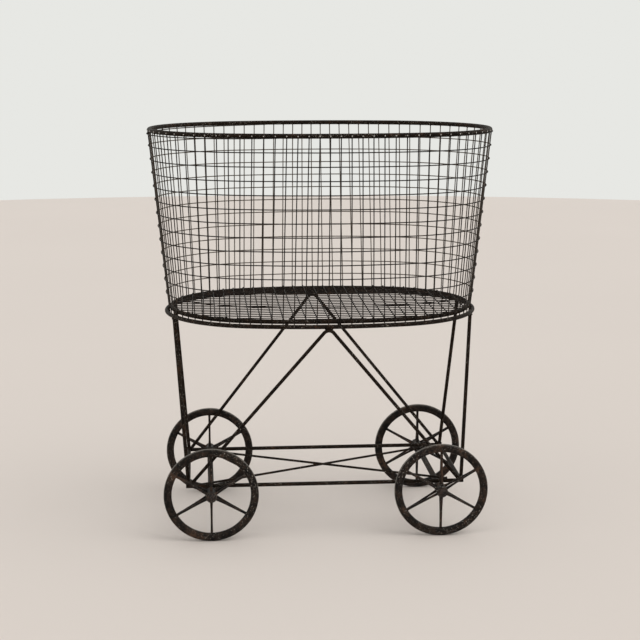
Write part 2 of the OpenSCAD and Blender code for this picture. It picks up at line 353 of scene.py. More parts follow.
class Iron(Enum):
    """The cart's iron finishes."""

    ROD = IronFinish(
        "rod_iron", (0.0044, 0.0025, 0.0012), (0.0158, 0.0092, 0.0050), (0.052, 0.0265, 0.015),
        (0.26, 0.235, 0.20), rust_from=0.565, smooth=0.55, metal=0.03, shine=0.07,
    )
    # its mask of the stored attribute starts low, so the painted light on the wall wires' inner sides covers
    # more of them
    WIRE = IronFinish(
        "wire_iron", (0.0065, 0.0052, 0.0045), (0.0200, 0.0140, 0.0108), (0.052, 0.031, 0.020),
        (0.195, 0.165, 0.133), fleck_from=0.70, wear_and_light_from=0.40, relief=0.0003, smooth=0.6, metal=0.03,
        shine=0.08,
    )
    WORN = IronFinish(
        "worn_iron", (0.0080, 0.0058, 0.0048), (0.040, 0.0270, 0.0215), (0.085, 0.050, 0.036),
        (0.28, 0.25, 0.215), rust_from=0.53, smooth=0.45, shine=0.2,
    )
    CAST = IronFinish(
        "cast_iron", (0.0030, 0.0023, 0.0019), (0.0270, 0.0175, 0.0125), (0.066, 0.037, 0.024),
        (0.34, 0.31, 0.27), rust_from=0.54, fleck_from=0.685, wear_and_light_paint=0.3, patch_scale=34.0,
        grain_scale=150.0, relief=0.0007, metal=0.05, shine=0.13,
    )
    # pale, shiny finish of the wire ends on the rim ring: painted glints, far lighter than the iron
    TIP = IronFinish(
        "worn_iron", (0.38, 0.365, 0.335), (0.46, 0.44, 0.40), (0.15, 0.10, 0.07),
        (0.60, 0.58, 0.54), rust_from=0.60, smooth=0.38, rough=0.6, metal=0.2, shine=0.5,
    )


class PaintShop:
    """Makes each finish once and puts it on pieces."""

    def __init__(self) -> None:
        """Starts with no finish made."""
        self.made: dict[Iron, bpy.types.Material] = {}

    def finish(self, iron: Iron) -> bpy.types.Material:
        """The material of a finish, made at first use."""
        if iron not in self.made:
            self.made[iron] = iron.value.material("iron_" + iron.name.lower())
        return self.made[iron]

    def dress(self, nodes: Sequence[str], iron: Iron) -> None:
        """Gives a finish to CAD nodes that are shown as they are.

        Args:
            nodes: Names of the nodes.
            iron: Finish to give them.
        """
        for name in nodes:
            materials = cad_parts[name].data.materials
            materials.clear()
            materials.append(self.finish(iron))
            log.info("%s wears %s", name, iron.name)


SHOP = PaintShop()


def seat(piece: bpy.types.Object, body: str, iron: Iron, stands_for: Sequence[str] = ()) -> None:
    """Hands a finished piece to its body.

    Args:
        piece: The piece, as a plain mesh at the origin.
        body: Body that it moves with.
        iron: Finish that it wears; not used.
        stands_for: CAD nodes that it is shown in place of.
    """
    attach(piece, body)
    if stands_for:
        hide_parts(*stands_for)
    log.info("%s rides on %s: %d faces", piece.name, body, len(piece.data.polygons))


# ---- shared shapes


def wire_tree() -> bpy.types.NodeTree:
    """Round wire drawn along each line of a piece, wandering a little as handled wire does."""
    sizes = {"Radius": 0.0012, "Sides": 8, "Wander": 0.0003, "Wander scale": 9.0, "Seed": 1.0}
    sheet = ShapeSheet("Drawn wire", sizes)
    curve = sheet.node("GeometryNodeMeshToCurve", None, {"Mesh": sheet.take("Geometry")})
    noise = {
        "Vector": sheet.node("GeometryNodeInputPosition"), "W": sheet.take("Seed"),
        "Scale": sheet.take("Wander scale"), "Detail": 2.0,
    }
    drift = sheet.node("ShaderNodeTexNoise", {"noise_dimensions": "4D"}, noise, "Color")
    centred = sheet.vector("SUBTRACT", drift, (0.5, 0.5, 0.5))
    offset = sheet.vector("SCALE", centred, sheet.take("Wander") * 4.0)
    bent = sheet.node("GeometryNodeSetPosition", None, {"Geometry": curve, "Offset": offset})
    round_wire = {"Resolution": sheet.take("Sides"), "Radius": sheet.take("Radius")}
    section = sheet.node("GeometryNodeCurvePrimitiveCircle", None, round_wire)
    drawn = {"Curve": bent, "Profile Curve": section, "Fill Caps": True}
    return sheet.close(sheet.node("GeometryNodeCurveToMesh", None, drawn))


def bead_tree() -> bpy.types.NodeTree:
    """A nugget of weld metal on each point of a piece, turned along the seam and of uneven size."""
    sheet = ShapeSheet("Weld beads", {"Length": 1.3, "Spread": 0.18, "Segments": 8, "Rings": 5, "Seed": 1})
    rounds = {"Segments": sheet.take("Segments"), "Rings": sheet.take("Rings")}
    ball = sheet.node("GeometryNodeMeshUVSphere", None, rounds)
    spread = sheet.take("Spread")
    even = (1.0, 1.0, 1.0)
    least, most = sheet.vector("SUBTRACT", even, spread), sheet.vector("ADD", even, spread)
    limits = {"Min": least, "Max": most, "Seed": sheet.take("Seed")}
    stretch = sheet.node("FunctionNodeRandomValue", {"data_type": "FLOAT_VECTOR"}, limits)
    long_way = sheet.node("ShaderNodeCombineXYZ", None, {"X": sheet.take("Length"), "Y": 1.0, "Z": 1.0})
    size = sheet.vector("SCALE", sheet.vector("MULTIPLY", stretch, long_way), sheet.field("size", "FLOAT"))
    along = {"Vector": sheet.field("along", "FLOAT_VECTOR")}
    turned = sheet.node("FunctionNodeAlignRotationToVector", {"axis": "X"}, along)
    beads = {"Points": sheet.take("Geometry"), "Instance": ball, "Rotation": turned, "Scale": size}
    return sheet.close(sheet.node("GeometryNodeInstanceOnPoints", None, beads))


WIRE_TREE = wire_tree()
BEAD_TREE = bead_tree()
CORNERS = ("front_left", "front_right", "back_left", "back_right")
ALONG_X, ALONG_Y, UPWARD = Vector((1, 0, 0)), Vector((0, 1, 0)), Vector((0, 0, 1))


@dataclass(frozen=True)
class Line:
    """A run of points that a wire follows."""

    points: list[Vector]
    closed: bool = False


@dataclass(frozen=True)
class Spot:
    """Place of one weld bead."""

    place: Vector
    along: Vector
    size: float


def line_mesh(name: str, lines: Sequence[Line]) -> bpy.types.Mesh:
    """Turns lines into a mesh of edges.

    Args:
        name: Name of the mesh.
        lines: Lines to hold.

    Returns:
        The mesh.
    """
    points, edges = [], []
    for line in lines:
        first = len(points)
        points += line.points
        last = len(points) - 1
        edges += [(i, i + 1) for i in range(first, last)]
        if line.closed:
            edges.append((last, first))
    mesh = bpy.data.meshes.new(name)
    mesh.from_pydata(points, edges, [])
    return mesh


def spot_mesh(name: str, spots: Sequence[Spot]) -> bpy.types.Mesh:
    """Turns weld spots into a mesh of loose points that know their direction and size.

    Args:
        name: Name of the mesh.
        spots: Spots to hold.

    Returns:
        The mesh.
    """
    mesh = bpy.data.meshes.new(name)
    mesh.from_pydata([spot.place for spot in spots], [], [])
    along = mesh.attributes.new("along", "FLOAT_VECTOR", "POINT")
    along.data.foreach_set("vector", np.array([spot.along for spot in spots], np.float32).ravel())
    size = mesh.attributes.new("size", "FLOAT", "POINT")
    size.data.foreach_set("value", np.array([spot.size for spot in spots], np.float32))
    return mesh


def paint_inner_light(mesh: bpy.types.Mesh, spine: float = 0.1) -> None:
    """Stores how far each point of a wall wire faces the inside of the basket, where its colour is painted
    paler as painted light.

    Args:
        mesh: Mesh of the wires.
        spine: Half the length of the line that the wall stands round.
    """
    places, normals = np.empty((2, len(mesh.vertices), 3))
    mesh.vertices.foreach_get("co", places.ravel())
    mesh.vertices.foreach_get("normal", normals.ravel())
    out = places * (1.0, 1.0, 0.0)
    out[:, 0] -= np.clip(out[:, 0], -spine, spine)
    out /= np.maximum(np.linalg.norm(out, axis=1, keepdims=True), 1e-6)
    # inward-facing sides are marked for a paler colour: painted light on the wires' inner sides
    inward = np.clip(0.25 - (normals * out).sum(axis=1), 0.0, 1.0)
    inner_light = mesh.attributes.new("worn", "FLOAT", "POINT")
    inner_light.data.foreach_set("value", inward.astype(np.float32))


def lay_wires(
    name: str, lines: Sequence[Line], radius: float, wander: float, seed: float,
    stands_for: Sequence[str], inner_light: bool = True,
) -> None:
    """Draws wires along lines as one piece of the cart.

    Args:
        name: Name of the piece.
        lines: Lines that the wires follow.
        radius: Radius of the wire.
        wander: How far a wire strays from its line.
        seed: Seed of the straying.
        stands_for: CAD nodes that it is shown in place of.
        inner_light: Whether the sides that face inwards are painted paler, as painted light.
    """
    sizes = {"Radius": radius, "Wander": wander, "Seed": seed, "Finish": SHOP.finish(Iron.WIRE)}
    piece = grow(name, line_mesh(name + "_lines", lines), WIRE_TREE, sizes)
    # paints the inward-facing sides paler: painted light
    if inner_light:
        paint_inner_light(piece.data)
    seat(piece, "cart", Iron.WIRE, stands_for)


def weld(
    name: str, spots: Sequence[Spot], iron: Iron, seed: int, length: float = 1.3, spread: float = 0.18
) -> None:
    """Puts weld beads on spots as one piece of the cart.

    Args:
        name: Name of the piece.
        spots: Places of the beads.
        iron: Finish of the beads.
        seed: Seed of their uneven sizes.
        length: Length of a bead over its width.
        spread: How uneven the beads are.
    """
    sizes = {"Length": length, "Spread": spread, "Seed": seed, "Finish": SHOP.finish(iron)}
    seat(grow(name, spot_mesh(name + "_spots", spots), BEAD_TREE, sizes), "cart", iron)


def circle(radius: float, count: int) -> list[Vector]:
    """Points spaced evenly round the origin in plan."""
    turns = [2 * math.pi * i / count for i in range(count)]
    return [Vector((radius * math.cos(turn), radius * math.sin(turn), 0)) for turn in turns]


def collar_of_beads(centre: Vector, axis: Vector, radius: float, size: float, count: int) -> list[Spot]:
    """Fillet weld round the end of a rod: beads on a circle.

    Args:
        centre: Middle of the circle.
        axis: Direction of the rod.
        radius: Radius of the circle.
        size: Radius of a bead.
        count: Number of beads.

    Returns:
        The beads' spots.
    """
    axis = axis.normalized()
    side = axis.orthogonal().normalized()
    other = axis.cross(side)
    outs = [side * point.x + other * point.y for point in circle(1.0, count)]
    return [Spot(centre + out * radius, axis.cross(out), size) for out in outs]


def middle(node: str) -> Vector:
    """Middle of a CAD node's box."""
    low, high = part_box(node)
    return (low + high) / 2


# ---- the basket


@dataclass
class Oval:
    """Four-centre oval that the rim ring follows. Rings and wires keep an offset from it."""

    length: float
    width: float
    bow: float = 0.012

    def __post_init__(self) -> None:
        """Works out the arcs' radii and centres, and the angle at which a side meets a round end."""
        self.end_r = self.width / 2 - self.bow
        self.end_x = self.length / 2 - self.end_r
        self.side_y = (self.end_x**2 - self.bow**2) / (2 * self.bow)
        self.side_r = self.width / 2 + self.side_y
        self.join = math.atan2(self.side_y, self.end_x)

    def side_run(self, offset: float) -> float:
        """Length of half a long side at an offset."""
        return (self.side_r + offset) * (math.pi / 2 - self.join)

    def quarter(self, offset: float) -> float:
        """Length of a quarter of the oval at an offset."""
        return self.side_run(offset) + (self.end_r + offset) * self.join

    def place(self, offset: float, along: float) -> tuple[Vector, Vector]:
        """Point and outward direction in the first quarter.

        Args:
            offset: Distance outside the rim ring's line.
            along: Distance from the middle of the long side.

        Returns:
            Point in plan and the outward direction there.
        """
        if along < self.side_run(offset):
            turn = math.pi / 2 - along / (self.side_r + offset)
            out = Vector((math.cos(turn), math.sin(turn), 0))
            return out * (self.side_r + offset) - Vector((0, self.side_y, 0)), out
        turn = self.join - (along - self.side_run(offset)) / (self.end_r + offset)
        out = Vector((math.cos(turn), math.sin(turn), 0))
        return out * (self.end_r + offset) + Vector((self.end_x, 0, 0)), out

    def ring(self, offset: float, height: float, per_quarter: int) -> Line:
        """Closed line round the oval at an offset and a height."""
        quarter = self.quarter(offset)
        first = [self.place(offset, quarter * i / per_quarter)[0] for i in range(per_quarter + 1)]
        points = [Vector((p.x, p.y, height)) for p in first]
        points += [Vector((p.x, -p.y, height)) for p in reversed(first[:-1])]
        points += [Vector((-p.x, -p.y, height)) for p in first[1:]]
        points += [Vector((-p.x, p.y, height)) for p in reversed(first[1:-1])]
        return Line(points, closed=True)

    def half_depth(self, x: float, offset: float) -> float:
        """Half the oval's depth at a distance from the middle."""
        if x < (self.side_r + offset) * math.cos(self.join):
            return math.sqrt((self.side_r + offset) ** 2 - x * x) - self.side_y
        return math.sqrt((self.end_r + offset) ** 2 - (x - self.end_x) ** 2)

    def half_length(self, y: float, offset: float) -> float:
        """Half the oval's length at a depth from the middle."""
        if y > (self.side_r + offset) * math.sin(self.join) - self.side_y:
            return math.sqrt((self.side_r + offset) ** 2 - (y + self.side_y) ** 2)
        return self.end_x + math.sqrt((self.end_r + offset) ** 2 - y * y)


@dataclass
class WireBasket:
    """The tapered basket: wall of wires, floor grid and their welds."""

    wire: float = 0.002
    rim_rod: float = 0.0084
    rim_seat: float = 0.003
    base_rod: float = 0.0084
    stand_rod: float = 0.008
    gap: float = 0.0001
    lean_in: float = 0.0347
    quarter_gaps: int = 20
    rim_spread: tuple[float, float] = (-0.18, -0.05)
    base_spread: tuple[float, float] = (0.07, -0.104)
    depth_pitch: float = 0.0206
    cross_pitch: float = 0.0186
    selvage_top: float = 0.0034
    selvage_sag: float = 0.0036
    sag_from: float = 0.09
    sag_run: float = 0.24
    upright_top: float = 0.001
    hoop_steps: int = 66
    upright_steps: int = 18
    depth_half_steps: int = 10
    cross_half_steps: int = 14
    wander: float = 0.0003
    cross_bead: float = 0.00118
    rim_bead: float = 0.0014
    tip_bead: float = 0.00135
    ring_bead: float = 0.0016
    grid_bead: float = 0.00125
    end_bead: float = 0.0015
    end_inset: float = 0.0012
    ring_margin: float = 0.003
    hoop_names: tuple[str, ...] = tuple(f"hoop_{i:02d}" for i in range(1, 13))

    def __post_init__(self) -> None:
        """Reads the heights and the oval's size from the frame."""
        low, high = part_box("rim_ring")
        self.oval = Oval(high.x - low.x - self.rim_rod, high.y - low.y - self.rim_rod)
        self.hoop_heights = [middle(name).z for name in self.hoop_names]
        self.rim_z = middle("rim_ring").z
        self.base_z = middle("base_ring").z
        self.stand_z = middle("stand_ring").z
        self.tan_lean = self.lean_in / (self.rim_z - self.base_z)
        self.cos_lean = math.cos(math.atan(self.tan_lean))
        self.hoop_stack = (self.wire + self.gap) / self.cos_lean
        self.base_offset = self.wall(self.base_z) - self.stack(self.base_rod)
        self.stand_offset = self.wall(self.stand_z) + self.stack(self.stand_rod)

    def stack(self, rod: float) -> float:
        """Distance between the wall wires' line and that of a ring of rod beside them."""
        return (rod / 2 + self.wire / 2 + self.gap) / self.cos_lean

    def wall(self, height: float) -> float:
        """Offset of the wall wires' line at a height."""
        return self.rim_seat - (self.rim_z - height) * self.tan_lean

    def upright(self, number: int, height: float) -> tuple[Vector, Vector]:
        """Point of an upright wire of the first quarter at a height, and the outward direction there."""
        share = number / self.quarter_gaps
        ends = []
        for z, (first, second) in ((self.rim_z, self.rim_spread), (self.base_z, self.base_spread)):
            offset = self.wall(z)
            run = share + (first + second * share) * share * (1 - share)
            ends.append(self.oval.place(offset, self.oval.quarter(offset) * run))
        (top, out), (low, _) = ends
        fall = (self.rim_z - height) / (self.rim_z - self.base_z)
        point = top + (low - top) * fall
        return Vector((point.x, point.y, height)), out

    def selvage_drop(self, x: float) -> float:
        """Drop of the selvage hoop under the rim ring, which hangs lower towards the left end."""
        return self.selvage_top + self.selvage_sag * max(0.0, (-x - self.sag_from) / self.sag_run) ** 0.7

    def around(self, height: float, push: float) -> list[tuple[Vector, Vector]]:
        """Every upright wire's point at a height, pushed outwards, with the outward direction."""
        found = []
        for number in range(self.quarter_gaps + 1):
            point, out = self.upright(number, height)
            for sx in (1,) if number == 0 else (1, -1):
                for sy in (1,) if number == self.quarter_gaps else (1, -1):
                    turn = Vector((sx, sy, 1))
                    found.append(((point + out * push) * turn, out * turn))
        return found

    def beads(self, height: float, push: float, size: float, level: bool = False) -> list[Spot]:
        """Beads on every upright wire at a height, pushed outwards, along the upright or level."""
        places = self.around(height, push)
        return [Spot(at, Vector((-out.y, out.x, 0)) if level else UPWARD, size) for at, out in places]

    def hoop_line(self, height: float) -> Line:
        """Line of a hoop outside the upright wires."""
        return self.oval.ring(self.wall(height) + self.hoop_stack, height, self.hoop_steps)

    def build_wall(self) -> None:
        """Makes the hoops, the selvage hoop and the upright wires."""
        r = self.wire / 2
        hoops = [self.hoop_line(z) for z in self.hoop_heights]
        lay_wires("basket_hoops", hoops, r, self.wander, 3.0, self.hoop_names)
        selvage = self.hoop_line(middle("selvage_hoop").z)
        for point in selvage.points:
            point.z = self.rim_z - self.selvage_drop(point.x)
        lay_wires("basket_selvage", [selvage], r, 0.0002, 5.0, ["selvage_hoop"])
        run = self.rim_z - self.rim_rod / 2 + self.upright_top - self.stand_z
        steps = [self.stand_z + run * i / self.upright_steps for i in range(self.upright_steps + 1)]
        levels = [self.around(z, 0.0) for z in steps]
        uprights = [Line([point for point, _ in wire]) for wire in zip(*levels)]
        lay_wires("basket_uprights", uprights, r, 0.00025, 7.0, ["wall_wires"])

    def build_floor(self) -> None:
        """Makes the floor grid and the welds of its crossings and ends."""
        r = self.wire / 2
        depth_z = self.base_z + self.base_rod / 2 + r + self.gap
        cross_z = self.base_z + self.base_rod / 2 - r
        rise = self.base_rod / 2 - r
        inner = self.base_offset - math.sqrt((self.base_rod / 2) ** 2 - (rise - r) ** 2) - self.gap
        last_x = int((self.oval.half_length(0, self.base_offset) - self.base_rod / 2) / self.depth_pitch)
        last_y = int((self.oval.half_depth(0, inner) - self.wire) / self.cross_pitch)
        edge = self.ring_margin  # a crossing nearer to the ring than this has no bead of its own
        depth, cross, spots, ends = [], [], [], []
        columns = [i * self.depth_pitch for i in range(-last_x, last_x + 1)]
        n = self.depth_half_steps
        for x in columns:
            reach = self.oval.half_depth(abs(x) + r, self.base_offset + r)
            depth.append(Line([Vector((x, reach * t / n, depth_z)) for t in range(-n, n + 1)]))
            tips = (Vector((x, side * (reach - self.end_inset), depth_z - r)) for side in (-1, 1))
            ends += [Spot(tip, ALONG_X, self.end_bead) for tip in tips]
        n = self.cross_half_steps
        for y in (j * self.cross_pitch for j in range(-last_y, last_y + 1)):
            reach = self.oval.half_length(abs(y) + r, inner)
            cross.append(Line([Vector((reach * t / n, y, cross_z)) for t in range(-n, n + 1)]))
            tips = (Vector((side * reach, y, cross_z)) for side in (-1, 1))
            ends += [Spot(tip, ALONG_Y, self.ring_bead) for tip in tips]
            for x in columns:
                if abs(x) < reach - edge and abs(y) < self.oval.half_depth(abs(x), inner) - edge:
                    spots.append(Spot(Vector((x, y, (depth_z + cross_z) / 2)), ALONG_Y, self.grid_bead))
        lay_wires("floor_depth", depth, r, self.wander, 11.0, ["floor_depth_wires"], inner_light=False)
        lay_wires("floor_cross", cross, r, self.wander, 13.0, ["floor_cross_wires"], inner_light=False)
        weld("floor_crossings", spots, Iron.WIRE, 17)
        weld("floor_ends", ends, Iron.WIRE, 19)

    def build_welds(self) -> None:
        """Makes the nuggets where the wall's wires cross the hoops and the rings, and pale beads on the wire
        ends at the rim ring, painted bright as glints.
        """
        half = self.hoop_stack / 2
        crossings: list[Spot] = []
        for z in self.hoop_heights:
            crossings += self.beads(z, half, self.cross_bead, level=True)
        selvage = self.beads(middle("selvage_hoop").z, half, self.cross_bead, level=True)
        for bead in selvage:
            bead.place.z = self.rim_z - self.selvage_drop(bead.place.x)
        rings = self.beads(self.rim_z - self.rim_rod / 2 + 0.0004, 0.0, self.rim_bead)
        rings += self.beads(self.base_z, -self.wire / 2, self.ring_bead)
        rings += self.beads(self.stand_z, self.wire / 2, self.ring_bead)
        face = self.rim_rod / 2 - self.rim_seat - 0.0003
        # pale beads on the wire ends at the rim ring: painted glints
        tips = self.beads(self.rim_z - 0.0004, face, self.tip_bead, level=True)
        weld("wall_crossings", crossings + selvage, Iron.WIRE, 23, 1.15, 0.14)
        weld("ring_welds", rings, Iron.ROD, 29, 1.5, 0.2)
        weld("wire_tips", tips, Iron.TIP, 31, 1.0, 0.2)

    def build(self) -> None:
        """Makes the whole basket."""
        self.build_wall()
        self.build_floor()
        self.build_welds()
        SHOP.dress(["rim_ring", "base_ring"], Iron.ROD)


# ---- the stand


@dataclass
class RodStand:
    """The rod stand: its CAD rods and the fillet welds that hold them."""

    basket: WireBasket
    leg_rod: float = 0.0069
    strut_rod: float = 0.0064
    strut_inset: float = 0.0049
    rail_rod: float = 0.0074
    leg_angle: float = math.radians(22.5)
    strut_way: tuple[float, float, float] = (-0.251, 0.075, 0.307)
    seam_share: float = 0.42
    wide_seam_share: float = 0.44
    head_bead: float = 0.0019
    foot_bead: float = 0.0021
    rail_bead: float = 0.0018
    axle_bead: float = 0.0017
    brace_bead: float = 0.0016
    top_pitch: float = 0.0021
    top_fall: float = 0.0002
    axle_seam: float = 0.0019
    axle_pitch: float = 0.0014
    brace_inset: float = 0.0015
    brace_seam: float = 0.0019
    brace_back: float = 0.001
    cross_seam: float = 0.0016
    rods: tuple[str, ...] = (
        "stand_ring", *("leg_" + corner for corner in CORNERS), "strut_front", "strut_back", "rail_front",
        "rail_back", "end_rail_left", "end_rail_right", "brace_lower", "brace_upper",
    )

    def corner_spots(self) -> list[Spot]:
        """Welds at the four legs' heads and feet, and at the struts' and end rails' ends."""
        oval = self.basket.oval
        head_r = oval.end_r + self.basket.stand_offset
        head_x, head_y = head_r * math.cos(self.leg_angle), head_r * math.sin(self.leg_angle)
        head = Vector((oval.end_x + head_x, head_y, self.basket.stand_z - self.basket.stand_rod / 2))
        rail, rail_x = middle("rail_back"), middle("end_rail_right").x
        foot = Vector((rail_x, rail.y, rail.z + self.rail_rod / 2))
        strut_foot = foot - Vector((self.strut_inset, 0, 0))
        joint = Vector((rail_x, rail.y - self.rail_rod / 2, rail.z))
        leg_r, strut_r = self.leg_rod * self.seam_share, self.strut_rod * self.wide_seam_share
        rail_r = self.rail_rod * self.wide_seam_share
        spots = []
        for turn in (Vector((sx, sy, 1)) for sx in (-1, 1) for sy in (-1, 1)):
            way = (head - foot) * turn
            spots += collar_of_beads(head * turn, way, leg_r, self.head_bead, 10)
            spots += collar_of_beads(foot * turn, way, leg_r, self.foot_bead, 10)
            lean = Vector(self.strut_way) * turn
            spots += collar_of_beads(strut_foot * turn, lean, strut_r, self.head_bead, 9)
            spots += collar_of_beads(joint * turn, ALONG_Y, rail_r, self.rail_bead, 9)
        return spots

    def middle_spots(self) -> list[Spot]:
        """Welds at the struts' tops, the braces and the rails over the axles."""
        spots = []
        oval, rail = self.basket.oval, middle("rail_back")
        strut_y = oval.side_r + self.basket.stand_offset - oval.side_y
        strut_z = self.basket.stand_z - self.basket.stand_rod / 2
        for sy in (-1, 1):
            for i in range(-3, 4):
                place = Vector((i * self.top_pitch, sy * strut_y, strut_z))
                spots.append(Spot(place, ALONG_X, self.foot_bead - abs(i) * self.top_fall))
            for side in (-1, 1):
                for axle in ("axle_left", "axle_right"):
                    x, z = middle(axle).x + side * self.axle_seam, rail.z - self.rail_rod / 2
                    for i in range(-2, 3):
                        place = Vector((x, sy * rail.y + i * self.axle_pitch, z))
                        spots.append(Spot(place, ALONG_Y, self.axle_bead))
        low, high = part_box("brace_lower")
        way = Vector((high.x - low.x, high.y - low.y, 0)).normalized()
        inset = self.brace_inset
        for sx in (-1, 1):
            for brace, sy in (("brace_lower", sx), ("brace_upper", -sx)):
                x_end = (high.x if sx > 0 else low.x) - sx * inset
                line = Vector((way.x * sx, way.y * sy, 0))
                tip = Vector((x_end, sy * (high.y - inset), middle(brace).z)) - line * self.brace_back
                spots += collar_of_beads(tip, line, self.brace_seam, self.brace_bead, 8)
        cross = (middle("brace_lower") + middle("brace_upper")) / 2
        ring = circle(self.cross_seam, 5)
        return spots + [Spot(cross + point, ALONG_X, self.head_bead) for point in ring]

    def build(self) -> None:
        """Makes the welds and dresses the rods."""
        weld("stand_welds", self.corner_spots(), Iron.ROD, 37, 1.35, 0.22)
        weld("frame_welds", self.middle_spots(), Iron.ROD, 41, 1.3, 0.22)
        SHOP.dress(self.rods, Iron.ROD)


# ---- the wheels


def lathe(profile: Sequence[tuple[float, float]], steps: int) -> tuple[list[Vector], list[tuple[int, ...]]]:
    """Turns a closed profile round the Z axis.

    Args:
        profile: Radius and height of each corner, anticlockwise with Z up and the radius to the right.
        steps: Number of steps round the axis.

    Returns:
        Corners and faces, with the faces outwards.
    """
    points, faces = [], []
    count = len(profile)
    for i in range(steps):
        turn = 2 * math.pi * i / steps
        points += [Vector((r * math.cos(turn), r * math.sin(turn), z)) for r, z in profile]
        here, there = i * count, (i + 1) % steps * count
        for j in range(count):
            k = (j + 1) % count
            faces.append((here + j, there + j, there + k, here + k))
    return points, faces


def rounded(corners: Sequence[tuple[float, float]], radius: float, steps: int) -> list[tuple[float, float]]:
    """Rounds the corners of a closed profile.

    Args:
        corners: Corners of the profile, in order.
        radius: Radius of the rounding, at most half of the shortest side.
        steps: Steps in each rounding.

    Returns:
        The rounded profile.
    """
    result = []
    count = len(corners)
    for i, corner in enumerate(corners):
        here = Vector(corner)
        before = (Vector(corners[i - 1]) - here).normalized()
        after = (Vector(corners[(i + 1) % count]) - here).normalized()
        half = before.angle(after) / 2
        run = radius / math.tan(half)
        centre = here + (before + after).normalized() * (radius / math.sin(half))
        start, stop = here + before * run - centre, here + after * run - centre
        for step in range(steps + 1):
            ray = start.slerp(stop, step / steps)
            result.append(tuple(centre + ray.normalized() * radius))
    return result


def spoke_tree() -> bpy.types.NodeTree:
    """Pairs of round spokes from the hub's two ends to the rim, on a turned rim and hub, slightly uneven."""
    sizes = {
        "Spokes": 6, "Hub radius": 0.0085, "Rim radius": 0.0815, "Splay": 0.0095, "Rod radius": 0.002,
        "Flare": 0.55, "Uneven": 0.0003, "Seed": 1.0,
    }
    sheet = ShapeSheet("Spoked wheel", sizes)
    hub, rim, splay = sheet.take("Hub radius"), sheet.take("Rim radius"), sheet.take("Splay")
    round_rod = {"Resolution": 14, "Radius": sheet.take("Rod radius")}
    section = sheet.node("GeometryNodeCurvePrimitiveCircle", None, round_rod)
    along = sheet.node("GeometryNodeSplineParameter", out="Factor")
    swell = 1.0 + sheet.take("Flare") * ((1.0 - along) ** 9.0 + along ** 7.0)
    rods = []
    for side in (1.0, -1.0):
        start = sheet.node("ShaderNodeCombineXYZ", None, {"X": hub, "Z": splay * side})
        end = sheet.node("ShaderNodeCombineXYZ", None, {"X": rim})
        line = sheet.node("GeometryNodeCurvePrimitiveLine", None, {"Start": start, "End": end})
        fine = sheet.node("GeometryNodeResampleCurve", None, {"Curve": line, "Count": 26})
        swept = {"Curve": fine, "Profile Curve": section, "Scale": swell, "Fill Caps": True}
        rods.append(sheet.node("GeometryNodeCurveToMesh", None, swept))
    pair = sheet.node("GeometryNodeJoinGeometry", None, {"Geometry": rods})
    hubs = sheet.node("GeometryNodePoints", None, {"Count": sheet.take("Spokes")})
    turn = 2.0 * math.pi * sheet.node("GeometryNodeInputIndex") / sheet.take("Spokes") + math.pi / 2
    turned = sheet.node("FunctionNodeAxisAngleToRotation", None, {"Axis": (0.0, 0.0, 1.0), "Angle": turn})
    placed = {"Points": hubs, "Instance": pair, "Rotation": turned}
    spokes = sheet.node("GeometryNodeInstanceOnPoints", None, placed)
    spokes = sheet.node("GeometryNodeRealizeInstances", None, {"Geometry": spokes})
    whole = sheet.node("GeometryNodeJoinGeometry", None, {"Geometry": [sheet.take("Geometry"), spokes]})
    noise = {
        "Vector": sheet.node("GeometryNodeInputPosition"), "W": sheet.take("Seed"),
        "Scale": 70.0, "Detail": 3.0, "Roughness": 0.6,
    }
    lumps = sheet.node("ShaderNodeTexNoise", {"noise_dimensions": "4D"}, noise, "Fac")
    rise = (lumps - 0.5) * 2.0 * sheet.take("Uneven")
    push = sheet.vector("SCALE", sheet.node("GeometryNodeInputNormal"), rise)
    return sheet.close(sheet.node("GeometryNodeSetPosition", None, {"Geometry": whole, "Offset": push}))


SPOKE_TREE = spoke_tree()


